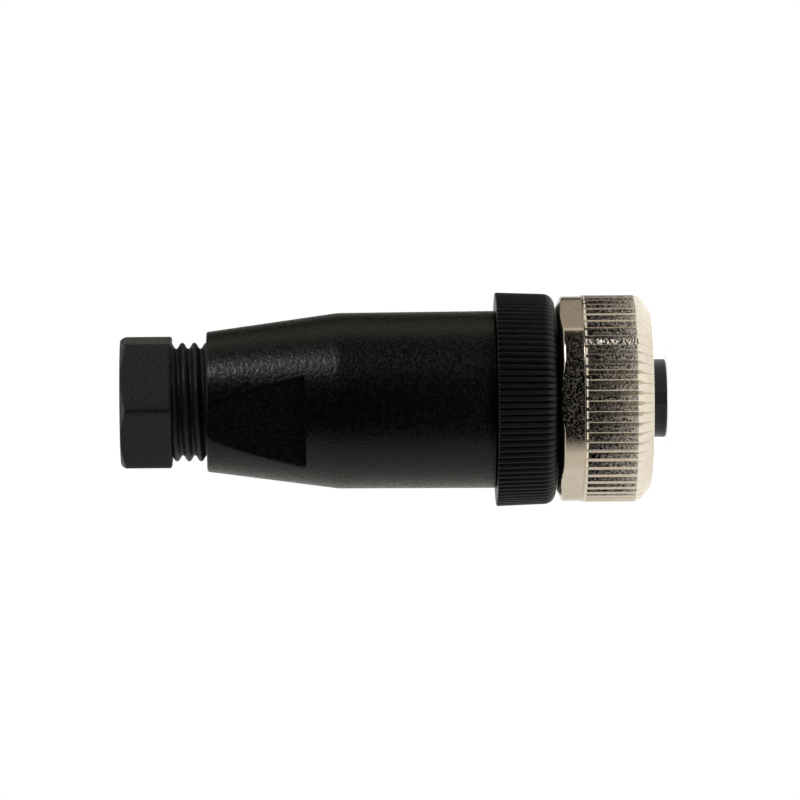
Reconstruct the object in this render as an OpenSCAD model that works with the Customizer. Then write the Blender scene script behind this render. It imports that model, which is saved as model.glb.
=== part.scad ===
// Straight M12 cable socket for field wiring: a union nut, a knurled contact
// carrier, a tapered housing and a screwed cable gland, on one axis.
// Millimetres. The origin is the centre of the mating face, +Z runs along the
// connector to the cable end, so the part stands on its mating face.

/* [Coupling nut] */
// How far the insert's face stands out of the coupling nut
insert_proud = 1.65; // [0.6:0.05:2.4]
// Length of the coupling nut
nut_length = 9.95; // [9.4:0.05:13]
// Diameter over the nut's teeth
nut_grip_d = 21.8; // [20:0.1:24]
// Length of the toothed part of the nut
nut_grip_length = 7.3; // [5:0.1:8]
// Number of teeth round the nut
nut_teeth = 60; // [40:1:80]
// Depth of the nut's teeth
nut_tooth_depth = 0.65; // [0.3:0.05:0.9]
// Width across the flats of the nut's hexagon
nut_flats = 20.55; // [20:0.05:21.4]
// Diameter that the hexagon's corners are turned down to
nut_collar_d = 21.6; // [20.6:0.1:22]
// Diameter of the nut's plain front face
nut_face_d = 18.8; // [17:0.1:19.4]
// Angle of the nut's front bevel from its axis
nut_bevel = 50; // [45:1:70]
// Major diameter of the coupling thread
coupling_thread_d = 12; // [12:0.1:12.4]
// Pitch of the coupling thread
coupling_pitch = 1; // [0.5:0.05:1.25]
// Axial play of the nut, forwards from where it rests
nut_float = 1.1; // [0.3:0.05:1.4]
// Gap between the resting nut and the knurled carrier
nut_gap = 0.15; // [0.1:0.05:0.5]

/* [Socket insert] */
// Diameter of the insert's nose
nose_d = 8.25; // [7.9:0.05:8.4]
// Width of the coding keyway
key_width = 1.25; // [0.8:0.05:1.6]
// Depth of the coding keyway
key_depth = 0.65; // [0.3:0.05:0.8]
// Diameter of the circle that the contacts stand on
contact_circle_d = 5.5; // [5.4:0.05:5.7]
// Diameter of the contact pins that the socket takes
pin_d = 1; // [0.8:0.05:1.1]
// Length of the insert behind its flange
insert_tail = 11.1; // [10:0.1:12]

/* [Knurled carrier] */
// Width of the knurled ring
ring_width = 6.2; // [5:0.1:8]
// Diameter of the knurled ring at the housing
ring_d = 22.58; // [21:0.02:24]
// Diameter of the knurled ring at the nut
ring_front_d = 22.08; // [20.5:0.02:24]
// Number of teeth round the ring
ring_teeth = 100; // [60:1:120]
// Depth of the ring's teeth
ring_tooth_depth = 0.32; // [0.15:0.01:0.5]
// Major diameter of the thread that carries the housing
body_thread_d = 16; // [15.6:0.1:16.4]
// Pitch of that thread
body_pitch = 1; // [0.75:0.05:1.5]
// Length of that thread
body_thread_length = 4.55; // [3.5:0.05:6]

/* [Housing] */
// Wall of the housing over the thread at its front
housing_wall = 1.34; // [1:0.01:2]
// How much its radius loses from the front to the start of the taper
housing_draft = 0.08; // [0:0.01:0.3]
// Length of the taper
taper_length = 13.85; // [12:0.05:16]
// Wall of the housing over the gland thread at its small end
small_end_wall = 1.05; // [0.95:0.01:1.6]
// Room for the wires behind the socket insert
wiring_room = 1.5; // [1:0.1:12]
// Width across the two spanner flats
flats_width = 14.4; // [14:0.05:14.6]
// Length of the spanner flats
flats_length = 10.3; // [8:0.1:11.5]
// Angle of the flats round the axis, from the keyway
flats_turn = -18; // [-90:1:90]

/* [Cable gland] */
// Major diameter of the gland thread
gland_thread_d = 12.5; // [12:0.05:12.6]
// Pitch of the gland thread
gland_pitch = 1.27; // [1:0.01:1.5]
// Length of the gland nut's threaded stem
stem_length = 8.5; // [7.5:0.05:9]
// How much of the stem shows between housing and hexagon
stem_showing = 3.65; // [3.4:0.05:4.2]
// Width across the flats of the gland nut
gland_flats = 13.2; // [12.7:0.1:15]
// Height of the gland nut's hexagon
gland_hex_height = 5.43; // [4:0.01:8]
// Angle of the gland nut's corner round the axis, from the keyway
gland_turn = -7; // [-30:1:30]
// Bore for the cable
cable_bore_d = 6.5; // [4:0.1:6.8]
// Length of the rubber sealing sleeve
sleeve_length = 5.7; // [3:0.1:6]
// Inner diameter of the sealing sleeve
sleeve_bore_d = 6; // [4:0.1:6.2]
// Length of the clamping cage
cage_length = 4.4; // [3:0.1:4.6]
// Number of fingers on the clamping cage
cage_fingers = 6; // [4:1:8]

/* [Clearances and walls] */
// Radial clearance of parts that turn in each other
running = 0.07; // [0.02:0.01:0.1]
// Clearance of parts that are only put together
seat_gap = 0.05; // [0.02:0.01:0.1]
// Diameter of the snap ring's wire
snap_wire_d = 0.9; // [0.7:0.05:1]
// Thickness of the face seal
face_seal_d = 1.35; // [1:0.05:1.4]
// Thickness of the housing seal
body_seal_d = 1.2; // [1:0.05:1.3]
// Thickness of the thrust washer
washer_thickness = 0.8; // [0.5:0.05:1]

/* [Hidden] */
$fn = 96;
eps = 0.01;

black_plastic = "#1d1d1f";
deep_black = "#161618";
nickel = "#c9c4ba";
brass = "#c2a250";
steel = "#9aa0a4";
rubber = "#2a2a2c";
grey_plastic = "#8d8f92";

key_angle = 270;
over = 1;

// Coupling nut
nut_front = insert_proud;
nut_rear = nut_front + nut_length;
nut_shoulder = nut_front + nut_grip_length;
nut_face_r = nut_face_d / 2;
nut_grip_r = nut_grip_d / 2;
nut_root_r = nut_grip_r - nut_tooth_depth;
nut_collar_r = nut_collar_d / 2;
nut_rear_bevel_r = 1.2;
nut_rear_bevel_z = 0.55;
nut_front_round = 1;
nut_edge_round = 0.4;
nut_collar_round = 0.3;
nut_tooth_land = 0.07;

// Thread forms: depth for one unit of pitch, and where crests and roots lie in it
metric_form = 0.54;
gland_form = 0.48;
form_shares = [0.06, 0.44, 0.56, 0.94];
coupling_r = coupling_thread_d / 2;
coupling_crest_r = coupling_r - metric_form * coupling_pitch;
coupling_lead_in = 0.45;
coupling_run_out = 0.2;

// The neck of the carrier, and the snap ring that holds the nut on it
neck_rise = 0.92;
neck_r = coupling_r + neck_rise;
neck_round = 0.3;
neck_land = 1;
nut_bore_r = neck_r + running;
snap_r = snap_wire_d / 2;
snap_ring_rise = 0.15;
snap_ring_r = neck_r + snap_ring_rise;
nut_lip = 0.7;
snap_z = nut_rear - nut_lip - snap_r;
snap_gap_angle = 24;
snap_groove_half = snap_r + seat_gap;
nut_groove_r = snap_ring_r + snap_groove_half;
neck_groove_r = snap_ring_r - snap_r - 2 * seat_gap;
neck_groove_front = snap_z - snap_groove_half - nut_float;
neck_front = neck_groove_front - neck_land;
nut_step_gap = 0.2;
nut_inner_step = neck_front - nut_step_gap;

// Face seal and the insert's nose
nose_r = nose_d / 2;
nose_edge = 0.3;
face_seal_r = face_seal_d / 2;
face_seal_room = 0.26;
face_seal_mid_r = coupling_crest_r - face_seal_room - face_seal_r;
seal_groove_r = face_seal_mid_r - face_seal_r - seat_gap / 2;
face_seal_z = neck_front - face_seal_r - seat_gap;
nose_gap = 0.1;
nose_length = face_seal_z - face_seal_r - nose_gap;

// Knurled ring
ring_front = nut_rear + nut_gap;
ring_rear = ring_front + ring_width;
ring_r = ring_d / 2;
ring_front_r = ring_front_d / 2;
ring_root_r = ring_front_r - ring_tooth_depth;
ring_front_round = 1.2;
ring_edge_round = 0.15;
ring_tooth_land = 0.1;
ring_core_rise = 1;

// Thread that carries the housing, and the seal in front of it
body_thread_r = body_thread_d / 2;
body_root_r = body_thread_r - metric_form * body_pitch;
body_seal_r = body_seal_d / 2;
body_seal_rise = 0.02;
body_seal_mid_r = body_thread_r + body_seal_rise;
body_seal_floor_r = body_seal_mid_r - body_seal_r;
seal_groove_width = body_seal_d + 4 * seat_gap;
thread_front = ring_rear + seal_groove_width;
carrier_rear = thread_front + body_thread_length;
carrier_wall = 0.86;

// Insert body, flange and the ring that locks it
flange_r = body_root_r - carrier_wall;
flange_step = 1.2;
insert_r = flange_r - flange_step;
insert_round = 0.4;
seal_neck = 1.2;
body_front = neck_front + seal_neck;
flange_setback = 2.75;
flange_front = ring_front + flange_setback;
flange_thickness = 1.4;
flange_rear = flange_front + flange_thickness;
insert_rear = flange_rear + insert_tail;
lock_thickness = 0.7;
lock_lip = 0.5;
lock_bite = 0.4;
lock_inner_r = insert_r + lock_lip;
lock_outer_r = flange_r + lock_bite;
lock_gap_angle = 60;
lock_front = flange_rear + seat_gap;
lock_rear = lock_front + lock_thickness;

// Contacts and their terminals
poles = 4;
contact_r = contact_circle_d / 2;
pin_r = pin_d / 2;
pin_entry_gap = 0.12;
pin_entry_r = pin_r + pin_entry_gap;
pin_funnel_step = 0.35;
pin_funnel_r = pin_r + pin_funnel_step;
pin_funnel_depth = 0.25;
fit_gap = 0.02;
socket_wall = 0.45;
socket_r = pin_r + socket_wall;
socket_round = 0.2;
socket_front = 0.85;
socket_depth = 6.5;
socket_slot = 0.25;
slot_stop = 1;
collar_lip = 0.3;
collar_r = socket_r + collar_lip;
collar_setback = 0.2;
collar_front = body_front + collar_setback;
collar_length = 1;
terminal_r = 1.6;
terminal_round = 0.15;
terminal_setback = 1;
terminal_front = flange_front + terminal_setback;
terminal_recess = 0.6;
terminal_rear = insert_rear - terminal_recess;
wire_hole_r = 0.85;
wire_hole_depth = 6;
screw_setback = 3;
screw_z = terminal_rear - screw_setback;
screw_r = 0.98;
screw_tip_gap = 0.5;
screw_head_r = 1.25;
screw_head_gap = 0.1;
screw_head_seat = terminal_r + screw_head_gap;
screw_head_height = 0.7;
screw_head_top = screw_head_seat + screw_head_height;
screw_slot_width = 0.3;
screw_slot_depth = 0.35;

// Gland bore, then sleeve, cage, washer and gland nut behind the wiring room
gland_r = gland_thread_d / 2;
gland_root_r = gland_r - gland_form * gland_pitch;
gland_bore_r = gland_r + running;
seat_step = 0.72;
seat_r = gland_bore_r - seat_step;
cable_bore_r = cable_bore_d / 2;
cable_lead_in = 0.6;
gland_turns_in = 2.5;
gland_travel_in = gland_turns_in * gland_pitch;
throat_length = 0.475;
throat_step = 1.2;
throat_r = seat_r - throat_step;
cavity_rear = insert_rear + wiring_room;
sleeve_front = cavity_rear + throat_length;
sleeve_rear = sleeve_front + sleeve_length;
sleeve_r = seat_r - seat_gap;
sleeve_round = 0.3;
sleeve_tip_round = 0.6;
cage_room = 0.4;
cage_front = sleeve_rear + gland_travel_in + cage_room;
cage_rear = cage_front + cage_length;
cage_r = seat_r - 2 * seat_gap;
cage_taper = 0.6;
cage_tip_r = cage_r - cage_taper;
cage_tip_round = 0.3;
cage_bore_step = 0.2;
cage_bore_r = cable_bore_r + cage_bore_step;
cage_band = 1.2;
cage_band_round = 0.2;
cage_slot = 0.8;
washer_front = cage_rear + seat_gap;
washer_rear = washer_front + washer_thickness;
stem_front = washer_rear + seat_gap;
hex_front = stem_front + stem_length;
gland_rear = hex_front + gland_hex_height;
gland_corner_r = gland_flats / 2 / cos(30);
gland_crown_inset = 0.1;
gland_crown_r = gland_flats / 2 - gland_crown_inset;
gland_crown_angle = 30;
gland_run_out = 0.3;
gland_thread_front = stem_front - gland_travel_in - gland_run_out;

// Outside of the housing
housing_front = ring_rear + seat_gap;
housing_rear = hex_front - stem_showing;
housing_r = body_thread_r + housing_wall;
shoulder_r = housing_r - housing_draft;
shoulder_z = housing_rear - taper_length;
shoulder_blend = 6;
small_end_r = gland_bore_r + small_end_wall;
housing_edge = 0.25;
flats_front = housing_rear - flats_length;

// Inside of the housing
seal_counterbore_r = body_seal_mid_r + body_seal_r + running;
counterbore_ramp = 0.6;
thread_bore_r = body_thread_r + running;
cavity_inset = 0.1;
cavity_r = body_root_r - cavity_inset;
carrier_room = 0.3;
cavity_front = carrier_rear + carrier_room;
cavity_cone = 1.7;
seat_ramp = 0.4;
mouth_lead_in = 0.35;

// ---- Helpers ----

function unit(v) = v / norm(v);

// The points of an arc of the given radius that rounds corner b between a and c
function corner(a, b, c, radius, steps) =
  radius == 0 ? [b] :
  let (
    u = unit(a - b),
    w = unit(c - b),
    half = acos(u * w) / 2,
    centre = b + unit(u + w) * radius / sin(half),
    first = b + u * radius / tan(half) - centre,
    last = b + w * radius / tan(half) - centre,
    start = atan2(first.y, first.x),
    sweep = atan2(first.x * last.y - first.y * last.x, first * last)
  )
  [for (i = [0 : steps]) centre + radius * [cos(start + sweep * i / steps), sin(start + sweep * i / steps)]];

// A closed outline from [radius, z, corner rounding] rows
function outline(rows, steps = 5) = [
  for (i = [0 : len(rows) - 1])
    let (
      n = len(rows),
      before = rows[(i + n - 1) % n],
      here = rows[i],
      after = rows[(i + 1) % n]
    )
    each corner([before.x, before.y], [here.x, here.y], [after.x, after.y], here.z, steps)
];

// Rows of a V thread form on a surface from z_lo to z_hi: crests and roots in turn
function thread_rows(z_lo, z_hi, pitch, crest_r, root_r) =
  let (turns = floor((z_hi - z_lo) / pitch), start = (z_lo + z_hi - turns * pitch) / 2)
  [
    for (i = [0 : turns - 1], k = [0 : 3])
      [k == 1 || k == 2 ? root_r : crest_r, start + (i + form_shares[k]) * pitch, 0]
  ];

// A toothed outline: each tooth has a narrow land and straight flanks
function tooth_points(teeth, tip_r, root_r, land) = [
  for (i = [0 : teeth - 1], c = [[-land, tip_r], [land, tip_r], [0.5, root_r]])
    let (a = (i + c[0]) * 360 / teeth) c[1] * [cos(a), sin(a)]
];

module turned(rows) {
  rotate_extrude() polygon(outline(rows));
}

module rod(r, z_lo, z_hi) {
  translate([0, 0, z_lo]) cylinder(r = r, h = z_hi - z_lo);
}

module hexagon(flats, z_lo, z_hi) {
  translate([0, 0, z_lo]) cylinder(r = flats / 2 / cos(30), h = z_hi - z_lo, $fn = 6);
}

module o_ring(mid_r, wire_r, z) {
  rotate_extrude() translate([mid_r, z]) circle(r = wire_r, $fn = 48);
}

module at_pole(i) {
  rotate([0, 0, key_angle + 45 + 360 / poles * i]) translate([contact_r, 0, 0]) children();
}

// ---- Coupling nut ----

module nut_grip() {
  intersection() {
    translate([0, 0, nut_front])
      linear_extrude(height = nut_grip_length)
        polygon(tooth_points(nut_teeth, nut_grip_r, nut_root_r, nut_tooth_land));
    turned([
      [0, nut_front, 0],
      [nut_face_r, nut_front, nut_edge_round],
      [nut_grip_r, nut_front + (nut_grip_r - nut_face_r) / tan(nut_bevel), nut_front_round],
      [nut_grip_r, nut_shoulder, 0],
      [0, nut_shoulder, 0]
    ]);
  }
}

module nut_collar() {
  intersection() {
    turned([
      [0, nut_shoulder - eps, 0],
      [nut_collar_r, nut_shoulder - eps, 0],
      [nut_collar_r, nut_rear - nut_rear_bevel_z, nut_collar_round],
      [nut_collar_r - nut_rear_bevel_r, nut_rear, 0],
      [0, nut_rear, 0]
    ]);
    hexagon(nut_flats, nut_shoulder - eps, nut_rear);
  }
}

module nut_bore() {
  mouth_r = coupling_r + coupling_lead_in;
  thread_start = nut_front + mouth_r - coupling_crest_r;
  turned(concat(
    [
      [0, nut_front - over, 0],
      [mouth_r + over, nut_front - over, 0],
      [coupling_crest_r, thread_start, 0]
    ],
    thread_rows(thread_start, nut_inner_step - coupling_run_out,
      coupling_pitch, coupling_crest_r, coupling_r),
    [
      [coupling_crest_r, nut_inner_step, 0],
      [nut_bore_r, nut_inner_step, 0],
      [nut_bore_r, snap_z - snap_groove_half, 0],
      [nut_groove_r, snap_z - snap_groove_half, 0],
      [nut_groove_r, snap_z + snap_groove_half, 0],
      [nut_bore_r, snap_z + snap_groove_half, 0],
      [nut_bore_r, nut_rear + over, 0],
      [0, nut_rear + over, 0]
    ]
  ));
}

module coupling_nut() {
  color(nickel) difference() {
    union() {
      nut_grip();
      nut_collar();
    }
    nut_bore();
  }
}

module nut_snap_ring() {
  color(steel) rotate([0, 0, key_angle + snap_gap_angle / 2])
    rotate_extrude(angle = 360 - snap_gap_angle)
      translate([snap_ring_r, snap_z]) circle(r = snap_r, $fn = 24);
}

// ---- Socket insert with its contacts ----

module contact_hole() {
  rod(pin_entry_r, -over, socket_front);
  translate([0, 0, -eps]) cylinder(r1 = pin_funnel_r, r2 = pin_entry_r, h = pin_funnel_depth);
  rod(socket_r + seat_gap, socket_front, collar_front);
  rod(collar_r + seat_gap, collar_front, terminal_front);
  rod(terminal_r + seat_gap, terminal_front, insert_rear + over);
  translate([0, 0, screw_z]) rotate([0, 90, 0])
    cylinder(r = screw_head_r + 2 * seat_gap, h = insert_r);
}

module socket_insert() {
  color(deep_black) difference() {
    turned([
      [0, 0, 0],
      [nose_r, 0, nose_edge],
      [nose_r, nose_length, 0],
      [seal_groove_r, nose_length, 0],
      [seal_groove_r, body_front, 0],
      [insert_r, body_front, 0],
      [insert_r, flange_front, 0],
      [flange_r, flange_front, 0],
      [flange_r, flange_rear, 0],
      [insert_r, flange_rear, 0],
      [insert_r, insert_rear, insert_round],
      [0, insert_rear, 0]
    ]);
    for (i = [0 : poles - 1]) at_pole(i) contact_hole();
    rotate([0, 0, key_angle])
      translate([nose_r - key_depth, -key_width / 2, -over])
        cube([key_depth + over, key_width, nose_length + over]);
  }
}

module contact(i) {
  color(brass) at_pole(i) difference() {
    turned([
      [0, socket_front + seat_gap, 0],
      [socket_r, socket_front + seat_gap, socket_round],
      [socket_r, collar_front + seat_gap, 0],
      [collar_r, collar_front + seat_gap, 0],
      [collar_r, collar_front + collar_length, 0],
      [socket_r, collar_front + collar_length, 0],
      [socket_r, terminal_front + seat_gap, 0],
      [terminal_r, terminal_front + seat_gap, 0],
      [terminal_r, terminal_rear, terminal_round],
      [0, terminal_rear, 0]
    ]);
    rod(pin_r + fit_gap, 0, socket_front + socket_depth);
    rod(wire_hole_r, terminal_rear - wire_hole_depth, terminal_rear + over);
    translate([-socket_slot / 2, -socket_r - over, 0])
      cube([socket_slot, 2 * (socket_r + over), socket_front + socket_depth - slot_stop]);
    translate([0, 0, screw_z]) rotate([0, 90, 0])
      cylinder(r = screw_r + fit_gap, h = terminal_r + over);
  }
}

module terminal_screw(i) {
  color(steel) at_pole(i) translate([0, 0, screw_z]) rotate([0, 90, 0]) difference() {
    union() {
      rod(screw_r, screw_tip_gap, screw_head_seat + eps);
      rod(screw_head_r, screw_head_seat, screw_head_top);
    }
    translate([-screw_slot_width / 2, -screw_head_r - over, screw_head_top - screw_slot_depth])
      cube([screw_slot_width, 2 * (screw_head_r + over), screw_slot_depth + over]);
  }
}

module insert_lock_ring() {
  color(steel) rotate([0, 0, key_angle + lock_gap_angle / 2])
    rotate_extrude(angle = 360 - lock_gap_angle)
      translate([lock_inner_r, lock_front])
        square([lock_outer_r - lock_inner_r, lock_thickness]);
}

module face_seal() {
  color(rubber) o_ring(face_seal_mid_r, face_seal_r, face_seal_z);
}

// ---- Knurled carrier ----

module carrier_ring() {
  intersection() {
    translate([0, 0, ring_front])
      linear_extrude(height = ring_width)
        polygon(tooth_points(ring_teeth, ring_r, ring_root_r, ring_tooth_land));
    turned([
      [0, ring_front, 0],
      [ring_front_r, ring_front, ring_front_round],
      [ring_r, ring_rear, ring_edge_round],
      [0, ring_rear, 0]
    ]);
  }
}

module carrier_stem() {
  turned(concat(
    [
      [0, neck_front, 0],
      [neck_r, neck_front, neck_round],
      [neck_r, neck_groove_front, 0],
      [neck_groove_r, neck_groove_front, 0],
      [neck_groove_r, snap_z + snap_groove_half, 0],
      [neck_r, snap_z + snap_groove_half, 0],
      [neck_r, ring_front + eps, 0],
      [neck_r + ring_core_rise, ring_front + eps, 0],
      [neck_r + ring_core_rise, ring_rear - eps, 0],
      [body_seal_floor_r, ring_rear - eps, 0],
      [body_seal_floor_r, thread_front, 0],
      [body_thread_r, thread_front, 0]
    ],
    thread_rows(thread_front, carrier_rear, body_pitch, body_thread_r, body_root_r),
    [
      [body_root_r, carrier_rear, 0],
      [0, carrier_rear, 0]
    ]
  ));
}

module knurled_carrier() {
  color(black_plastic) difference() {
    union() {
      carrier_ring();
      carrier_stem();
    }
    turned([
      [0, neck_front - over, 0],
      [seal_groove_r + seat_gap, neck_front - over, 0],
      [seal_groove_r + seat_gap, body_front - seat_gap, 0],
      [insert_r + seat_gap, body_front - seat_gap, 0],
      [insert_r + seat_gap, flange_front - seat_gap, 0],
      [flange_r + seat_gap, flange_front - seat_gap, 0],
      [flange_r + seat_gap, lock_front - seat_gap / 2, 0],
      [lock_outer_r + seat_gap, lock_front - seat_gap / 2, 0],
      [lock_outer_r + seat_gap, lock_rear + seat_gap, 0],
      [flange_r + seat_gap, lock_rear + seat_gap, 0],
      [flange_r + seat_gap, carrier_rear + over, 0],
      [0, carrier_rear + over, 0]
    ]);
  }
}

module body_seal() {
  color(rubber) o_ring(body_seal_mid_r + seat_gap / 2, body_seal_r, ring_rear + seal_groove_width / 2);
}

// ---- Housing ----

module spanner_flat() {
  translate([flats_width / 2, -housing_r - over, flats_front])
    cube([housing_r, 2 * (housing_r + over), flats_length + over]);
}

module housing_cavity() {
  turned([
    [0, housing_front - over, 0],
    [seal_counterbore_r, housing_front - over, 0],
    [seal_counterbore_r, thread_front + seat_gap, 0],
    [thread_bore_r, thread_front + counterbore_ramp, 0],
    [thread_bore_r, cavity_front, 0],
    [cavity_r, cavity_front, 0],
    [cavity_r, cavity_rear - cavity_cone, 0],
    [throat_r, cavity_rear, 0],
    [throat_r, sleeve_front - seat_gap, 0],
    [seat_r, sleeve_front - seat_gap, 0],
    [seat_r, gland_thread_front - seat_ramp, 0],
    [gland_bore_r, gland_thread_front, 0],
    [gland_bore_r, housing_rear - mouth_lead_in, 0],
    [gland_bore_r + mouth_lead_in, housing_rear, 0],
    [gland_bore_r + mouth_lead_in, housing_rear + over, 0],
    [0, housing_rear + over, 0]
  ]);
}

module housing() {
  color(black_plastic) difference() {
    turned([
      [0, housing_front, 0],
      [housing_r, housing_front, housing_edge],
      [shoulder_r, shoulder_z, shoulder_blend],
      [small_end_r, housing_rear, housing_edge],
      [0, housing_rear, 0]
    ]);
    housing_cavity();
    for (side = [0, 180]) rotate([0, 0, key_angle + flats_turn + side]) spanner_flat();
  }
}

// ---- Cable gland ----

module sealing_sleeve() {
  color(rubber) turned([
    [sleeve_bore_d / 2, sleeve_front, sleeve_round],
    [sleeve_r, sleeve_front, sleeve_round],
    [sleeve_r, sleeve_rear, sleeve_tip_round],
    [sleeve_bore_d / 2, sleeve_rear, sleeve_round]
  ]);
}

module clamp_cage() {
  color(grey_plastic) difference() {
    turned([
      [cage_bore_r, cage_front, cage_band_round],
      [cage_tip_r, cage_front, cage_tip_round],
      [cage_r, cage_rear - cage_band, 0],
      [cage_r, cage_rear, cage_band_round],
      [cage_bore_r, cage_rear, cage_band_round]
    ]);
    for (i = [0 : cage_fingers - 1])
      rotate([0, 0, 360 / cage_fingers * i])
        translate([0, -cage_slot / 2, cage_front - over])
          cube([cage_r + over, cage_slot, cage_length - cage_band + over]);
  }
}

module thrust_washer() {
  color(steel) difference() {
    rod(cage_r, washer_front, washer_rear);
    rod(cage_bore_r, washer_front - over, washer_rear + over);
  }
}

module gland_stem() {
  turned(concat(
    [
      [0, stem_front, 0],
      [gland_root_r, stem_front, 0]
    ],
    thread_rows(stem_front, hex_front, gland_pitch, gland_r, gland_root_r),
    [
      [gland_root_r, hex_front + eps, 0],
      [0, hex_front + eps, 0]
    ]
  ));
}

module gland_head() {
  crown = (gland_corner_r - gland_crown_r) * tan(gland_crown_angle);
  intersection() {
    rotate([0, 0, key_angle + gland_turn]) hexagon(gland_flats, hex_front, gland_rear);
    turned([
      [0, hex_front, 0],
      [gland_corner_r + over, hex_front, 0],
      [gland_corner_r + over, gland_rear - crown - over * tan(gland_crown_angle), 0],
      [gland_crown_r, gland_rear, 0],
      [0, gland_rear, 0]
    ]);
  }
}

module gland_nut() {
  color(black_plastic) difference() {
    union() {
      gland_head();
      gland_stem();
    }
    turned([
      [0, stem_front - over, 0],
      [cable_bore_r, stem_front - over, 0],
      [cable_bore_r, gland_rear - cable_lead_in, 0],
      [cable_bore_r + cable_lead_in, gland_rear, 0],
      [cable_bore_r + cable_lead_in, gland_rear + over, 0],
      [0, gland_rear + over, 0]
    ]);
  }
}

coupling_nut();
nut_snap_ring();
face_seal();
socket_insert();
for (i = [0 : poles - 1]) {
  contact(i);
  terminal_screw(i);
}
insert_lock_ring();
knurled_carrier();
body_seal();
housing();
sealing_sleeve();
clamp_cage();
thrust_washer();
gland_nut();
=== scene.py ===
# %% [markdown]
# # A cable socket for field wiring
# The real object is a small round connector for machine cabling. A toothed
# nickel-plated union nut screws it to its mating plug, a knurled black ring
# carries the contacts, a tapered black housing covers the wires, and a
# hexagonal gland nut grips the cable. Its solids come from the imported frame,
# in metres, with the axis along +Z and the mating face on the floor.
# Blender's part is the surface: fine teeth, true helical threads, rounded
# moulded edges, plastic grain, cast metal, and the light that shows them.

# %% Load the frame and keep its box
import math

import bmesh
import bpy
import numpy as np
from mathutils import Matrix, Vector


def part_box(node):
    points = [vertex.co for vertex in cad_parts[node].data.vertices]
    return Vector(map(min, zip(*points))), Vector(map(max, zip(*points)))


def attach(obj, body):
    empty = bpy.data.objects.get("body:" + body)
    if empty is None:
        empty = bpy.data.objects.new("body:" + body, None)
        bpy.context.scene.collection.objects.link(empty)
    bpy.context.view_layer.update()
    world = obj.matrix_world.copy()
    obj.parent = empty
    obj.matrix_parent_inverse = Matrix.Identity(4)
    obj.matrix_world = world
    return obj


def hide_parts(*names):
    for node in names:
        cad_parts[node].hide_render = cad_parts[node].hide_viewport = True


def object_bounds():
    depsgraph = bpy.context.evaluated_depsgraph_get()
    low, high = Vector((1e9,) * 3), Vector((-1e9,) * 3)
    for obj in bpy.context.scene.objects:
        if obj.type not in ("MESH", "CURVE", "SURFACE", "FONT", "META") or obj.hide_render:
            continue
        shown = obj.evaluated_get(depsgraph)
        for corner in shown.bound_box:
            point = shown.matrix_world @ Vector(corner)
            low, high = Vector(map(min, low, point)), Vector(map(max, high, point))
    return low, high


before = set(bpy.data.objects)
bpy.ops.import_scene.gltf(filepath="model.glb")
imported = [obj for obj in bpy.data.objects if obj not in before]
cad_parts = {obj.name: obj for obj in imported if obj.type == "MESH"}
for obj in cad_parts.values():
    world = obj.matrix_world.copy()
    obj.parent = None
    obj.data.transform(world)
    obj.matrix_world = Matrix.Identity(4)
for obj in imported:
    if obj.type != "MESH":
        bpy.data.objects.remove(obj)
cad_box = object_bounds()
MM = 0.001
print("CAD box in mm:", [[round(c / MM, 2) for c in corner] for corner in cad_box])

# %% [markdown]
# ## Colours and nodes
# A hex colour is what a designer reads off a swatch, but Blender mixes light in
# linear values, so one function converts it. A second one adds any shader or
# geometry node with its settings and links in a single line, which keeps each
# material short enough to read as a recipe.


# %% One function for colours, one for nodes
def linear(hex_colour):
    """An sRGB hex colour as Blender's linear RGBA."""
    parts = [int(hex_colour[i : i + 2], 16) / 255 for i in (1, 3, 5)]
    return [c / 12.92 if c <= 0.04045 else ((c + 0.055) / 1.055) ** 2.4 for c in parts] + [1.0]


def add(tree, kind, settings=None, **sockets):
    """Adds a node. Settings are its properties; sockets take a value or another node's output."""
    made = tree.nodes.new(kind)
    for name, value in (settings or {}).items():
        setattr(made, name, value)
    for name, value in sockets.items():
        found = made.inputs[int(name[1:])] if name[1:].isdigit() else made.inputs[name.replace("_", " ")]
        if isinstance(value, bpy.types.NodeSocket):
            tree.links.new(value, found)
        else:
            found.default_value = value
    return made


print("linear mid grey:", [round(c, 3) for c in linear("#808080")])

# %% [markdown]
# ## Camera
# The connector is seen square from the side with a long lens, lying across the
# frame with its mating face to the right. In the shared frame it stands upright,
# so the camera is rolled by a quarter turn instead: its right is -Z and its up
# is +X. It stands a little towards the cable end, which is why the nut's front
# rim shows less than its toothed side.

# %% Place the camera
VIEW_WIDTH = 84.4 * MM
VIEW_DISTANCE = 700.0 * MM
VIEW_ROLL = math.radians(0.5)
AIM = Vector((0.02, 0.0, 28.03)) * MM
EYE = Vector((0.02, -700.0, 40.0)) * MM

camera_data = bpy.data.cameras.new("side_camera")
camera_data.sensor_width = 36.0
camera_data.lens = camera_data.sensor_width * VIEW_DISTANCE / VIEW_WIDTH
camera_data.clip_start = 0.01
camera_data.clip_end = 10.0
camera = bpy.data.objects.new("side_camera", camera_data)
bpy.context.scene.collection.objects.link(camera)
back = (EYE - AIM).normalized()
up = Vector((math.cos(VIEW_ROLL), 0.0, -math.sin(VIEW_ROLL)))
right = up.cross(back).normalized()
up = back.cross(right)
turn = Matrix((right, up, back)).transposed().to_4x4()
camera.matrix_world = Matrix.Translation(EYE) @ turn
bpy.context.scene.camera = camera
bpy.context.scene.view_settings.view_transform = "Standard"
print("lens:", round(camera_data.lens), "mm, looks along", [round(-c, 3) for c in back])

# %% [markdown]
# ## Floor, surroundings and lamps
# Bare metal and glossy black plastic show their surroundings more than their
# own colour. The studio is white behind, below and beside the object and dark
# where the viewer stands, so faces that look at the viewer go dark and the
# rest go bright. A colour ramp round the axis paints that into the world, and
# the camera sees plain white. The floor is a small white disc that is only
# drawn from above, so the mating face can be looked at from below.

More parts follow.
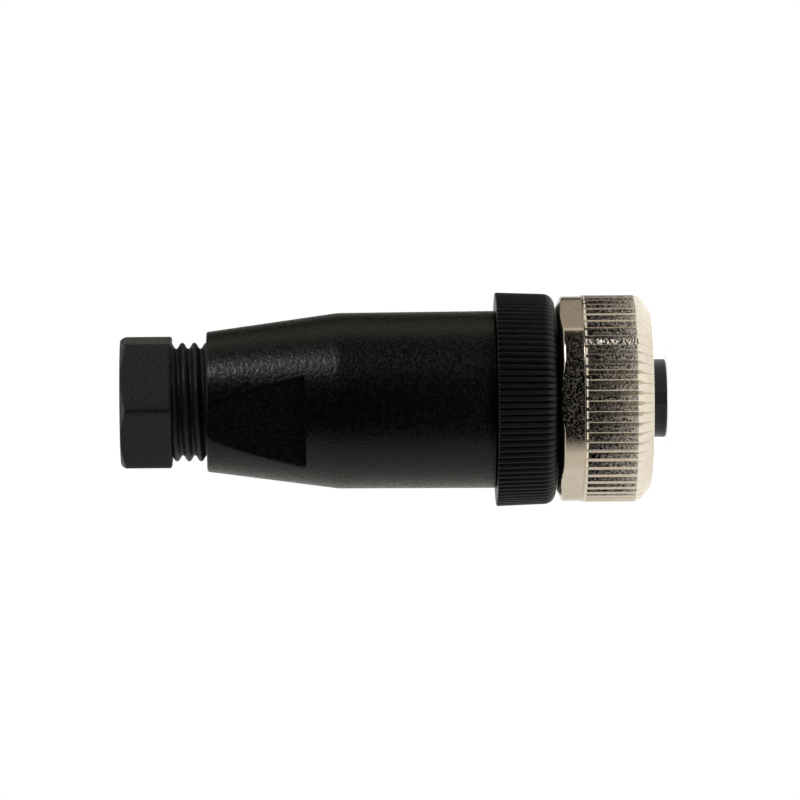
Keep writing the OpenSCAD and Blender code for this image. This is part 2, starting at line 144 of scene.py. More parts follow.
# %% The world: a dark front, bright sides and back
ANGLES = [
    (-180, "#f4f2ee"),
    (-125, "#eee9e2"),
    (-66, "#e2dbd0"),
    (-46, "#1a1814"),
    (-20, "#050505"),
    (20, "#050505"),
    (74, "#100e0b"),
    (86, "#3c3831"),
    (97, "#d2cabc"),
    (112, "#e6dfd2"),
    (121, "#a2988a"),
    (130, "#4a463e"),
    (145, "#38352f"),
    (162, "#bcb8b0"),
    (180, "#f4f2ee"),
]

world = bpy.data.worlds.new("studio")
bpy.context.scene.world = world
world.use_nodes = True
tree = world.node_tree
tree.nodes.clear()
heading = add(tree, "ShaderNodeTexCoord").outputs["Generated"]
axes = add(tree, "ShaderNodeSeparateXYZ", Vector=heading).outputs
front = add(tree, "ShaderNodeMath", {"operation": "MULTIPLY"}, _0=axes["Y"], _1=-1.0).outputs[0]
angle = add(tree, "ShaderNodeMath", {"operation": "ARCTAN2"}, _0=axes["X"], _1=front).outputs[0]
share = add(
    tree, "ShaderNodeMapRange", Value=angle, From_Min=-math.pi, From_Max=math.pi
).outputs["Result"]
around = add(tree, "ShaderNodeValToRGB", Fac=share)
while len(around.color_ramp.elements) > 1:
    around.color_ramp.elements.remove(around.color_ramp.elements[-1])
around.color_ramp.elements[0].position = 0.0
around.color_ramp.elements[0].color = linear(ANGLES[0][1])
for degrees, colour in ANGLES[1:]:
    around.color_ramp.elements.new((degrees + 180) / 360).color = linear(colour)
along = add(tree, "ShaderNodeMath", {"operation": "ABSOLUTE"}, _0=axes["Z"]).outputs[0]
ends = add(
    tree,
    "ShaderNodeMapRange",
    {"interpolation_type": "SMOOTHSTEP"},
    Value=along,
    From_Min=0.6,
    From_Max=0.95,
).outputs["Result"]
ENDS_COLOUR = "#efede9"
room = add(
    tree, "ShaderNodeMix", {"data_type": "RGBA"}, _0=ends, _6=around.outputs["Color"], _7=linear(ENDS_COLOUR)
)
path = add(tree, "ShaderNodeLightPath").outputs
seen = add(
    tree, "ShaderNodeMath", {"operation": "MAXIMUM"}, _0=path["Is Camera Ray"], _1=path["Is Transmission Ray"]
).outputs[0]
sky = add(tree, "ShaderNodeMix", {"data_type": "RGBA"}, _0=seen, _6=room.outputs[2], _7=(1.0, 1.0, 1.0, 1.0))
glow = add(tree, "ShaderNodeBackground", Color=sky.outputs[2], Strength=1.0)
add(tree, "ShaderNodeOutputWorld", Surface=glow.outputs["Background"])
print("world ramp has", len(around.color_ramp.elements), "stops")

# %% The floor disc
FLOOR_RADIUS = 60.0 * MM
FLOOR_GLOW = 0.85

floor_mesh = bpy.data.meshes.new("floor")
shape = bmesh.new()
bmesh.ops.create_circle(shape, cap_ends=True, segments=96, radius=FLOOR_RADIUS)
shape.to_mesh(floor_mesh)
shape.free()
floor = bpy.data.objects.new("floor", floor_mesh)
floor.location.z = cad_box[0][2] - 0.02 * MM
bpy.context.scene.collection.objects.link(floor)

floor_paint = bpy.data.materials.new("white_floor")
floor_paint.use_nodes = True
tree = floor_paint.node_tree
tree.nodes.clear()
path = add(tree, "ShaderNodeLightPath").outputs
shown = add(
    tree, "ShaderNodeMath", {"operation": "MAXIMUM"}, _0=path["Is Camera Ray"], _1=path["Is Glossy Ray"]
).outputs[0]
lift = add(tree, "ShaderNodeMath", {"operation": "MULTIPLY"}, _0=shown, _1=FLOOR_GLOW).outputs[0]
paper = add(tree, "ShaderNodeBsdfDiffuse", Color=linear("#d8d8d6"))
lamp = add(tree, "ShaderNodeEmission", Color=(1.0, 1.0, 1.0, 1.0), Strength=lift)
both = add(tree, "ShaderNodeAddShader", _0=paper.outputs[0], _1=lamp.outputs[0])
clear = add(tree, "ShaderNodeBsdfTransparent")
under = add(tree, "ShaderNodeNewGeometry").outputs["Backfacing"]
one_sided = add(tree, "ShaderNodeMixShader", _0=under, _1=both.outputs[0], _2=clear.outputs[0])
add(tree, "ShaderNodeOutputMaterial", Surface=one_sided.outputs[0])
floor_mesh.materials.append(floor_paint)
print("floor at z", round(floor.location.z / MM, 3), "mm")

# %% Soft lamps
LAMPS = [
    # name, direction from the object, distance and size in mm, power in W
    ("upper_front", (0.75, -0.51, 0.42), 600, 160, 1.1),
    ("overhead", (0.35, 0.10, 1.00), 620, 420, 0.4),
]


def place_lamp(name, direction, distance, size, power):
    """A soft square lamp that looks at the middle of the object."""
    data = bpy.data.lights.new(name, "AREA")
    data.shape = "SQUARE"
    data.size = size * MM
    data.energy = power
    made = bpy.data.objects.new(name, data)
    heading = Vector(direction).normalized()
    middle = Vector((0.0, 0.0, (cad_box[0][2] + cad_box[1][2]) / 2))
    made.location = middle + heading * distance * MM
    made.rotation_euler = heading.to_track_quat("Z", "Y").to_euler()
    bpy.context.scene.collection.objects.link(made)
    return made


for lamp_row in LAMPS:
    place_lamp(*lamp_row)
print("lamps:", [row[0] for row in LAMPS])

# %% [markdown]
# ## Materials
# Each finish starts from what the real one is and how its surface was made.
# Patterns read Object coordinates, which are metres on these pieces, so a noise
# scale is one over the grain size in metres.


# %% A surface with grain
def grain_scale(millimetres):
    """The Noise scale whose blotches are about that wide."""
    return 1.0 / (millimetres * MM)


def blank_material(name):
    """An empty material and the tree, the shader and the place it is read at."""
    made = bpy.data.materials.new(name)
    made.use_nodes = True
    made.node_tree.nodes.clear()
    where = add(made.node_tree, "ShaderNodeTexCoord").outputs["Object"]
    surface = add(made.node_tree, "ShaderNodeBsdfPrincipled")
    add(made.node_tree, "ShaderNodeOutputMaterial", Surface=surface.outputs["BSDF"])
    return made, made.node_tree, surface, where


def moulded_plastic(name, dark, light, roughness, gloss, grain_mm, grain_height_mm, blotch_mm=3.0):
    """Moulded plastic: two close blacks in soft blotches, a fine grain that breaks up the gloss."""
    made, tree, surface, where = blank_material(name)
    blotch = add(tree, "ShaderNodeTexNoise", Vector=where, Scale=grain_scale(blotch_mm), Detail=4.0)
    colour = add(
        tree, "ShaderNodeMix", {"data_type": "RGBA"},
        _0=blotch.outputs["Fac"], _6=linear(dark), _7=linear(light),
    )
    grain = add(
        tree, "ShaderNodeTexNoise", Vector=where, Scale=grain_scale(grain_mm), Detail=1.5, Roughness=0.5
    )
    rough = add(
        tree, "ShaderNodeMapRange", Value=grain.outputs["Fac"],
        From_Min=0.3, From_Max=0.7, To_Min=roughness - 0.08, To_Max=roughness + 0.1,
    )
    bump = add(
        tree, "ShaderNodeBump", Height=grain.outputs["Fac"], Distance=grain_height_mm * MM, Strength=1.0
    )
    tree.links.new(colour.outputs[2], surface.inputs["Base Color"])
    tree.links.new(rough.outputs["Result"], surface.inputs["Roughness"])
    tree.links.new(bump.outputs["Normal"], surface.inputs["Normal"])
    surface.inputs["IOR"].default_value = 1.5
    surface.inputs["Specular IOR Level"].default_value = gloss
    return made


# Glass-filled polyamide from a spark-eroded tool: a satin black whose fine grain
# glitters where the light grazes it.
housing_black = moulded_plastic("black_polyamide_housing", "#050505", "#080808", 0.34, 0.26, 0.36, 0.045)
# The carrier and gland are the same plastic from smoother tools.
gland_black = moulded_plastic("black_polyamide_gland", "#151515", "#202020", 0.52, 0.34, 0.30, 0.030)
ring_black = moulded_plastic("black_polyamide_ring", "#040404", "#080808", 0.38, 0.24, 0.20, 0.005)
# The insert is a tougher moulding with a slight warm cast.
insert_black = moulded_plastic("black_polyurethane_insert", "#0f0b08", "#16120e", 0.36, 0.30, 0.20, 0.003)
rubber_black = moulded_plastic("black_nitrile_rubber", "#131314", "#1d1d1e", 0.62, 0.35, 0.20, 0.004)
cage_grey = moulded_plastic("grey_acetal_cage", "#84868a", "#92959a", 0.45, 0.50, 0.15, 0.003)
print("plastics:", housing_black.name, gland_black.name, ring_black.name, insert_black.name)


# %% Plated and drawn metals
DRIFT_MM = 1.4


def plated_metal(name, colour, shade, roughness, pit_mm, pit_height_mm):
    """Metal with a fine cast or rolled skin: slight colour drift, and pits that scatter the light."""
    made, tree, surface, where = blank_material(name)
    drift = add(
        tree, "ShaderNodeTexNoise", Vector=where, Scale=grain_scale(DRIFT_MM), Detail=5.0, Roughness=0.65
    )
    tint = add(
        tree, "ShaderNodeMix", {"data_type": "RGBA"},
        _0=drift.outputs["Fac"], _6=linear(shade), _7=linear(colour),
    )
    skin = add(
        tree, "ShaderNodeTexNoise", Vector=where, Scale=grain_scale(pit_mm), Detail=1.0, Roughness=0.5
    )
    rough = add(
        tree, "ShaderNodeMapRange", Value=skin.outputs["Fac"],
        From_Min=0.35, From_Max=0.65, To_Min=roughness - 0.05, To_Max=roughness + 0.08,
    )
    bump = add(
        tree, "ShaderNodeBump", Height=skin.outputs["Fac"], Distance=pit_height_mm * MM, Strength=1.0
    )
    tree.links.new(tint.outputs[2], surface.inputs["Base Color"])
    tree.links.new(rough.outputs["Result"], surface.inputs["Roughness"])
    tree.links.new(bump.outputs["Normal"], surface.inputs["Normal"])
    surface.inputs["Metallic"].default_value = 1.0
    return made


# Die-cast zinc under a nickel plate: warm and bright, with the speckle of the casting.
nickel_plate = plated_metal("nickel_plated_casting", "#dcd4c7", "#c3b9aa", 0.14, 0.22, 0.003)
nickel_rough = plated_metal("nickel_over_rough_casting", "#dcd4c7", "#b3a898", 0.16, 0.26, 0.040)
contact_brass = plated_metal("gold_flashed_brass", "#d8b25c", "#c29a48", 0.24, 0.30, 0.002)
spring_steel = plated_metal("drawn_spring_steel", "#b4b7b9", "#9a9da0", 0.28, 0.25, 0.002)
print("metals:", nickel_plate.name, contact_brass.name, spring_steel.name)

# %% [markdown]
# ## Shapes turned about the axis
# Nearly every piece here is a turned one, so its section is written as rows of
# radius, height and corner rounding, in millimetres, exactly as a turner's
# sketch gives them. The rows run once round the section, so the result is a
# closed shell. A limit that depends on the angle cuts teeth, flats and
# hexagons into the turned form, with a small radius where the two meet.


# %% Sections: rounded corners and even steps
def rounded(rows, steps=4):
    """Section points from (radius, height, rounding) rows."""
    points = []
    for i, (r, z, radius) in enumerate(rows):
        here = np.array((r, z), float)
        if not radius:
            points.append(here)
            continue
        before, after = (np.array(rows[(i + k) % len(rows)][:2], float) for k in (-1, 1))
        one, two = before - here, after - here
        reach = min(np.linalg.norm(one), np.linalg.norm(two)) * 0.98
        one, two = one / np.linalg.norm(one), two / np.linalg.norm(two)
        half = math.acos(float(np.clip(one @ two, -1, 1))) / 2
        cut = min(radius / math.tan(half), reach)
        radius = cut * math.tan(half)
        middle = here + (one + two) / np.linalg.norm(one + two) * radius / math.sin(half)
        start, end = here + one * cut - middle, here + two * cut - middle
        sweep = math.atan2(start[0] * end[1] - start[1] * end[0], start @ end)
        first = math.atan2(start[1], start[0])
        for k in range(steps + 1):
            a = first + sweep * k / steps
            points.append(middle + radius * np.array((math.cos(a), math.sin(a))))
    return points


def stepped(points, longest, seen=None, coarse=9.0):
    """The same closed section in steps of at most the given length, or the coarse one out of sight."""
    out = []
    for i, here in enumerate(points):
        after = points[(i + 1) % len(points)]
        fine = seen is None or (seen(here) and seen(after))
        count = max(1, math.ceil(np.linalg.norm(after - here) / (longest if fine else coarse)))
        out += [here + (after - here) * k / count for k in range(count)]
    return out


def softer(a, b, blend):
    """The smaller of two values, with a rounded change from one to the other."""
    return (a + b - np.sqrt((a - b) ** 2 + blend**2)) / 2


test_section = rounded([(1, 0, 0), (2, 0, 0.2), (2, 1, 0.2), (1, 1, 0)])
print("a rounded square section has", len(test_section), "points")


# %% From a section to a mesh
WELD = 0.0004 * MM


def turned_shell(name, section, angles, cut=None, whole=True, capped=False):
    """A mesh turned from a closed section; cut(radius, height, angle) may lower each radius."""
    rows = np.array(section)
    radius, height = rows[:, 0][None, :], rows[:, 1][None, :]
    theta = np.asarray(angles, float)[:, None]
    r = cut(radius, height, theta) if cut else radius + 0 * theta
    z = height + 0 * theta
    points = np.stack((r * np.cos(theta), r * np.sin(theta), z), axis=2).reshape(-1, 3) * MM
    columns, count = len(angles), len(section)
    faces = []
    for i in range(columns if whole else columns - 1):
        j = (i + 1) % columns
        for k in range(count):
            n = (k + 1) % count
            faces.append((i * count + k, j * count + k, j * count + n, i * count + n))
    if capped:
        faces += [tuple(range(count)), tuple(range((columns - 1) * count, columns * count))]
    made = bpy.data.meshes.new(name)
    made.from_pydata(points.tolist(), [], faces)
    piece = bpy.data.objects.new(name, made)
    bpy.context.scene.collection.objects.link(piece)
    return piece


def full_circle(columns):
    return np.arange(columns) * 2 * math.pi / columns


def welded(mesh):
    """Welds a mesh's seams, faces it outwards and counts the edges that are still open."""
    work = bmesh.new()
    work.from_mesh(mesh)
    bmesh.ops.remove_doubles(work, verts=work.verts, dist=WELD)
    bmesh.ops.dissolve_degenerate(work, edges=work.edges, dist=WELD / 2)
    bmesh.ops.recalc_face_normals(work, faces=work.faces)
    open_edges = sum(not edge.is_manifold for edge in work.edges)
    work.to_mesh(mesh)
    work.free()
    return open_edges


def finished(piece, body, material, stands_for=(), crease=32):
    """Welds a piece, smooths all but its creases, gives it its finish and sets it on its body."""
    open_edges = welded(piece.data)
    piece.data.shade_smooth()
    piece.data.set_sharp_from_angle(angle=math.radians(crease))
    piece.data.materials.clear()
    piece.data.materials.append(material)
    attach(piece, body)
    if stands_for:
        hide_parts(*stands_for)
    print(f"{piece.name}: {len(piece.data.polygons)} faces, {open_edges} open edges")
    return piece


# %% [markdown]
# ## Two rules for Geometry Nodes
# Teeth and hexagon corners repeat round the axis, so one of them is modelled
# and a node tree copies it round. A thread follows a helix: a node tree moves
# each point of a plain cylinder in or out by where it stands on the helix.
# Both trees have named inputs, so the same tree serves every such piece.


# %% Tree: copies round the axis
def copies_tree():
    """One sector in, a closed ring of them out."""
    tree = bpy.data.node_groups.new("copies_round_axis", "GeometryNodeTree")
    tree.interface.new_socket("Sector", in_out="INPUT", socket_type="NodeSocketGeometry")
    tree.interface.new_socket("Copies", in_out="INPUT", socket_type="NodeSocketInt")
    tree.interface.new_socket("Finish", in_out="INPUT", socket_type="NodeSocketMaterial")
    tree.interface.new_socket("Ring", in_out="OUTPUT", socket_type="NodeSocketGeometry")
    given = add(tree, "NodeGroupInput").outputs
    spots = add(tree, "GeometryNodePoints", Count=given["Copies"])
    which = add(tree, "GeometryNodeInputIndex").outputs[0]
    step = add(tree, "ShaderNodeMath", {"operation": "DIVIDE"}, _0=2 * math.pi, _1=given["Copies"]).outputs[0]
    swing = add(tree, "ShaderNodeMath", {"operation": "MULTIPLY"}, _0=which, _1=step).outputs[0]
    about_z = add(tree, "ShaderNodeCombineXYZ", Z=swing).outputs[0]
    rotation = add(tree, "FunctionNodeEulerToRotation", Euler=about_z).outputs[0]
    placed = add(
        tree, "GeometryNodeInstanceOnPoints", Points=spots.outputs[0], Instance=given["Sector"], Rotation=rotation
    )
    real = add(tree, "GeometryNodeRealizeInstances", Geometry=placed.outputs[0])
    welded = add(tree, "GeometryNodeMergeByDistance", Geometry=real.outputs[0], Distance=WELD)
    coated = add(tree, "GeometryNodeSetMaterial", Geometry=welded.outputs[0], Material=given["Finish"])
    add(tree, "NodeGroupOutput", Ring=coated.outputs[0])
    return tree


# %% Tree: a helical thread
THREAD_FORM = [
    # share of a pitch, height from root 0 to crest 1
    (0.0, 1.0), (0.07, 1.0), (0.17, 0.82), (0.38, 0.14), (0.46, 0.0),
    (0.54, 0.0), (0.62, 0.14), (0.83, 0.82), (0.93, 1.0), (1.0, 1.0),
]


def thread_tree():
    """Moves points in from the crest radius by the thread form, where the point's weight says so."""
    tree = bpy.data.node_groups.new("helical_thread", "GeometryNodeTree")
    tree.interface.new_socket("Blank", in_out="INPUT", socket_type="NodeSocketGeometry")
    for name in ("Depth", "Pitch", "Start"):
        tree.interface.new_socket(name, in_out="INPUT", socket_type="NodeSocketFloat")
    tree.interface.new_socket("Finish", in_out="INPUT", socket_type="NodeSocketMaterial")
    tree.interface.new_socket("Threaded", in_out="OUTPUT", socket_type="NodeSocketGeometry")
    given = add(tree, "NodeGroupInput").outputs
    place = add(tree, "GeometryNodeInputPosition").outputs[0]
    part = add(tree, "ShaderNodeSeparateXYZ", Vector=place).outputs
    turn = add(tree, "ShaderNodeMath", {"operation": "ARCTAN2"}, _0=part["Y"], _1=part["X"]).outputs[0]
    turns = add(tree, "ShaderNodeMath", {"operation": "DIVIDE"}, _0=turn, _1=2 * math.pi).outputs[0]
    above = add(tree, "ShaderNodeMath", {"operation": "SUBTRACT"}, _0=part["Z"], _1=given["Start"]).outputs[0]
    pitches = add(tree, "ShaderNodeMath", {"operation": "DIVIDE"}, _0=above, _1=given["Pitch"]).outputs[0]
    phase = add(tree, "ShaderNodeMath", {"operation": "SUBTRACT"}, _0=pitches, _1=turns).outputs[0]
    within = add(tree, "ShaderNodeMath", {"operation": "FRACT"}, _0=phase).outputs[0]
    form = add(tree, "ShaderNodeFloatCurve", Value=within)
    curve = form.mapping.curves[0]
    for k, point in enumerate(THREAD_FORM):
        if 0 < k < len(THREAD_FORM) - 1:
            curve.points.new(*point)
    curve.points[0].location, curve.points[-1].location = THREAD_FORM[0], THREAD_FORM[-1]
    form.mapping.update()
    hollow = add(tree, "ShaderNodeMath", {"operation": "SUBTRACT"}, _0=1.0, _1=form.outputs[0]).outputs[0]
    weight = add(tree, "GeometryNodeInputNamedAttribute", {"data_type": "FLOAT"}, Name="thread").outputs[0]
    inward = add(tree, "ShaderNodeMath", {"operation": "MULTIPLY"}, _0=hollow, _1=weight).outputs[0]
    depth = add(tree, "ShaderNodeMath", {"operation": "MULTIPLY"}, _0=inward, _1=given["Depth"]).outputs[0]
    flat = add(tree, "ShaderNodeCombineXYZ", X=part["X"], Y=part["Y"]).outputs[0]
    outward = add(tree, "ShaderNodeVectorMath", {"operation": "NORMALIZE"}, _0=flat).outputs[0]
    back_in = add(tree, "ShaderNodeMath", {"operation": "MULTIPLY"}, _0=depth, _1=-1.0).outputs[0]
    offset = add(
        tree, "ShaderNodeVectorMath", {"operation": "SCALE"}, _0=outward, Scale=back_in
    ).outputs[0]
    moved = add(tree, "GeometryNodeSetPosition", Geometry=given["Blank"], Offset=offset)
    real = add(tree, "GeometryNodeRealizeInstances", Geometry=moved.outputs[0])
    coated = add(tree, "GeometryNodeSetMaterial", Geometry=real.outputs[0], Material=given["Finish"])
    add(tree, "NodeGroupOutput", Threaded=coated.outputs[0])
    return tree


COPIES = copies_tree()
THREAD = thread_tree()
print("trees:", COPIES.name, THREAD.name)


# %% Run a tree on a piece and keep the plain mesh
def applied(piece):
    """Swaps a piece's mesh for the plain one that its modifiers make."""
    bpy.context.view_layer.update()
    evaluated = piece.evaluated_get(bpy.context.evaluated_depsgraph_get())
    result = bpy.data.meshes.new_from_object(evaluated)
    piece.modifiers.clear()
    piece.data = result


def through(piece, tree, **inputs):
    """Runs one tree on a piece and keeps the mesh that comes out."""
    modifier = piece.modifiers.new(tree.name, "NODES")
    modifier.node_group = tree
    for item in tree.interface.items_tree:
        if item.in_out == "INPUT" and item.name in inputs:
            modifier[item.identifier] = inputs[item.name]
    applied(piece)


def weigh_thread(piece, low, high, fade, inner=0.0, outer=math.inf):
    """Marks the points between two heights and two radii for the thread, fading out at its ends."""
    points = np.array([v.co for v in piece.data.vertices]) / MM
    r, z = np.hypot(points[:, 0], points[:, 1]), points[:, 2]
    weight = np.clip((z - low) / fade, 0, 1) * np.clip((high - z) / fade, 0, 1)
    weight = np.where((r > inner) & (r <= outer), weight, 0)
    layer = piece.data.attributes.new("thread", "FLOAT", "POINT")
    layer.data.foreach_set("value", weight.astype(np.float32))


# %% [markdown]
# ## The union nut
# On the real nut a straight row of teeth gives the fingers grip, a wide bevel
# leads to the mouth, and behind the teeth a hexagon with turned-down corners
# takes a spanner. One tooth is modelled as a thin slice of the nut and copied
# sixty times, so every groove runs out on the bevel as a cutter leaves it.

# %% The nut's teeth
nut_low, nut_high = (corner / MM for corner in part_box("coupling_nut"))
NUT_FRONT, NUT_REAR, GRIP_R = nut_low.z, nut_high.z, round(nut_high.x, 2)
NUT_SHOULDER = NUT_FRONT + 7.3
NUT_FACE_R = 9.4
NUT_BEVEL = math.radians(50)
NUT_BEVEL_RISE = (GRIP_R - NUT_FACE_R) / math.tan(NUT_BEVEL)
TOOTHED_R = NUT_FACE_R - 0.3
BUSH_R = 8.0
NUT_TEETH = 60
TOOTH_LAND, TOOTH_SHOULDER = 0.115, 0.17
TOOTH_RIM = 0.24
# How closely the cutter follows the bevel, from 0 for a straight cut to 1.
CUTTER_FOLLOWS = 0.85
RUN_OUT_SLOPE = 2.2
TOOTH_BLEND = 0.02


def tooth_drop(theta, radius, land, shoulder):
    """How far a toothed outline lies below its tips: a land, a rounded shoulder, a 45 degree wall."""
    across = np.abs(theta) * radius
    bend = shoulder / math.sin(math.pi / 4)
    on_shoulder = np.clip(across - land, 0, shoulder)
    on_wall = np.clip(across - land - shoulder, 0, None)
    return bend - np.sqrt(bend**2 - on_shoulder**2) + on_wall


def cut_teeth(radius, height, theta):
    drop = tooth_drop(theta, GRIP_R, TOOTH_LAND, TOOTH_SHOULDER)
    path = GRIP_R - CUTTER_FOLLOWS * (GRIP_R - radius) - drop
    run_out = GRIP_R - RUN_OUT_SLOPE * np.clip(NUT_SHOULDER - TOOTH_RIM - height, 0, None)
    cut = softer(radius, np.maximum(path, run_out), TOOTH_BLEND)
    return np.where(radius > TOOTHED_R, cut, radius)


half_pitch = math.pi / NUT_TEETH
half_tooth = np.array([0, 0.10, 0.20, 0.27, 0.34, 0.41, 0.50, 0.66, 0.82, 0.94, 1.0]) * half_pitch
one_tooth = np.concatenate((-half_tooth[:0:-1], half_tooth))
grip_section = rounded(
    [
        (BUSH_R, NUT_FRONT, 0),
        (NUT_FACE_R, NUT_FRONT, 0.4),
        (GRIP_R, NUT_FRONT + NUT_BEVEL_RISE, 1.0),
        (GRIP_R, NUT_SHOULDER, 0.08),
        (9.2, NUT_SHOULDER, 0),
        (BUSH_R, NUT_FRONT + 1.3, 0),
    ],
    steps=6,
)
BEVEL_STEP, RUN_OUT_STEP, RUN_OUT_LENGTH = 0.12, 0.05, 0.7
fine_rows = stepped(
    grip_section, BEVEL_STEP, seen=lambda point: point[0] > TOOTHED_R and point[1] < NUT_SHOULDER / 2
)
# The side needs rows where the bevel ends, so that shading starts flat, and where the grooves run out.
side = next(
    k for k, point in enumerate(fine_rows) if point[0] > GRIP_R - 0.01 and fine_rows[k + 1][1] - point[1] > 3
)
side_low, side_high = fine_rows[side][1], fine_rows[side + 1][1]
side_heights = [side_low, side_low + 0.06, side_low + 0.3, NUT_SHOULDER - RUN_OUT_LENGTH - RUN_OUT_STEP]
side_heights += list(np.arange(NUT_SHOULDER - RUN_OUT_LENGTH, side_high, RUN_OUT_STEP))
fine_rows[side : side + 1] = [np.array((GRIP_R, z)) for z in side_heights]
nut_grip = turned_shell("nut_grip", fine_rows, one_tooth, cut_teeth, whole=False)
through(nut_grip, COPIES, Copies=NUT_TEETH, Finish=nickel_plate)
finished(nut_grip, "union_nut", nickel_plate, ["coupling_nut"])

# %% The worn tooth
# At the parting line of the casting one groove is filled and battered.
WORN_FROM, WORN_TO = math.radians(299.5), math.radians(306.7)
WORN_LOW, WORN_BREAK, WORN_HIGH = 3.2, 5.0, 8.5
WORN_LUMP, WORN_STEP, WORN_DEPTH = 0.045, 0.13, 0.6
battering = np.random.default_rng(11)


def batter(radius, height, theta):
    """Lumps on the outer face of the worn part, none on its smooth end."""
    lumps = battering.uniform(-1.0, 0.3, np.broadcast(radius, theta).shape) * WORN_LUMP
    rough_face = (radius > GRIP_R - 0.1) & (height > WORN_BREAK)
    return np.where(rough_face, radius + lumps, radius + 0 * theta)


worn_section = [
    np.array((GRIP_R - WORN_DEPTH, WORN_LOW)),
    np.array((GRIP_R - 0.02, WORN_LOW + 0.1)),
    np.array((GRIP_R - 0.02, WORN_HIGH)),
    np.array((GRIP_R - WORN_DEPTH, WORN_HIGH + 0.1)),
]
worn_angles = np.linspace(WORN_FROM, WORN_TO, 13)
worn_tooth = turned_shell(
    "worn_tooth", stepped(worn_section, WORN_STEP), worn_angles, batter, whole=False, capped=True
)
finished(worn_tooth, "union_nut", nickel_rough, crease=20)

# %% The nut's hexagon
COLLAR_R, COLLAR_FLAT = 10.8, 20.55 / 2


def hexagon_radius(theta, flat, blend):
    """The radius of a hexagon whose corner is at angle zero, near that corner."""
    one = flat / np.cos(theta - math.pi / 6)
    two = flat / np.cos(theta + math.pi / 6)
    return softer(one, two, blend)


def cut_collar(radius, height, theta):
    return softer(radius, hexagon_radius(theta, COLLAR_FLAT, 0.05), 0.06)


sixth = np.linspace(-math.pi / 6, math.pi / 6, 73)
collar_section = rounded(
    [
        (BUSH_R, NUT_SHOULDER - 0.05, 0),
        (COLLAR_R, NUT_SHOULDER - 0.05, 0),
        (COLLAR_R, NUT_REAR - 0.55, 0.3),
        (COLLAR_R - 1.2, NUT_REAR, 0.1),
        (BUSH_R, NUT_REAR, 0),
    ]
)
nut_collar = turned_shell("nut_collar", stepped(collar_section, 0.2), sixth, cut_collar, whole=False)
through(nut_collar, COPIES, Copies=6, Finish=nickel_plate)
finished(nut_collar, "union_nut", nickel_plate)

# %% The nut's threaded bore
neck_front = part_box("knurled_carrier")[0].z / MM
MOUTH_R, CREST_R, THREAD_R, COUPLING_PITCH = 6.45, 5.46, 6.0, 1.0
NECK_BORE_R, CLIP_GROOVE_R, CLIP_LOW, CLIP_HIGH = 6.99, 7.57, 9.95, 10.95
NUT_STEP = neck_front - 0.2
bush_section = rounded(
    [
        (BUSH_R, NUT_FRONT, 0),
        (MOUTH_R, NUT_FRONT, 0.1),
        (CREST_R, NUT_FRONT + MOUTH_R - CREST_R, 0.1),
        (CREST_R, NUT_STEP, 0.1),
        (NECK_BORE_R, NUT_STEP, 0),
        (NECK_BORE_R, CLIP_LOW, 0),
        (CLIP_GROOVE_R, CLIP_LOW, 0),
        (CLIP_GROOVE_R, CLIP_HIGH, 0),
        (NECK_BORE_R, CLIP_HIGH, 0),
        (NECK_BORE_R, NUT_REAR, 0.15),
        (BUSH_R, NUT_REAR, 0),
    ]
)
nut_bush = turned_shell("nut_thread", stepped(bush_section, 0.07), full_circle(144))
weigh_thread(nut_bush, NUT_FRONT + 0.6, NUT_STEP - 0.2, 0.5, outer=MOUTH_R)
through(
    nut_bush, THREAD,
    Depth=-(THREAD_R - CREST_R) * MM, Pitch=COUPLING_PITCH * MM, Start=0.0, Finish=nickel_plate,
)
finished(nut_bush, "union_nut", nickel_plate)

# %% [markdown]
# ## The knurled ring and its stem
# The black ring is moulded with a hundred fine ridges. The stem behind it has
# a thread for the housing, and the neck in front of it holds the nut. The ring
# is copied from one ridge, and the stem's thread is a real helix.

# %% The ring's ridges
ring_low, ring_high = (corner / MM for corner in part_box("knurled_carrier"))
RING_R, RING_FRONT_R = round(ring_high.x, 2), 11.04
RING_FRONT = NUT_REAR + 0.15
RING_REAR = RING_FRONT + 6.2
RING_RIDGES = 100
RIDGE_DEPTH, RIDGE_STEP, RIDGE_INNER_R = 0.26, 0.15, 10.0
RING_CORE_R = 7.9


def cut_ridges(radius, height, theta):
    tip = RING_FRONT_R + (RING_R - RING_FRONT_R) * (height - RING_FRONT) / (RING_REAR - RING_FRONT)
    share = np.clip(np.abs(theta) * RING_RIDGES / math.pi, 0, 1)
    drop = RIDGE_DEPTH * (1 - np.cos(share * math.pi / 2))
    path = tip - CUTTER_FOLLOWS * (tip - radius) - drop
    return np.where(radius > RING_FRONT_R - 1.5, softer(radius, path, TOOTH_BLEND), radius)


ridge_columns = np.linspace(-math.pi, math.pi, 13) / RING_RIDGES
ring_section = rounded(
    [
        (RING_CORE_R, RING_FRONT, 0),
        (RING_FRONT_R + 0.02, RING_FRONT, 1.2),
        (RING_R, RING_REAR, 0.15),
        (RING_CORE_R, RING_REAR, 0),
    ],
    steps=7,
)
ring_rows = stepped(ring_section, RIDGE_STEP, seen=lambda point: point[0] > RIDGE_INNER_R)
knurled_ring = turned_shell("knurled_ring", ring_rows, ridge_columns, cut_ridges, whole=False)
through(knurled_ring, COPIES, Copies=RING_RIDGES, Finish=ring_black)
finished(knurled_ring, "carrier", ring_black, ["knurled_carrier"])

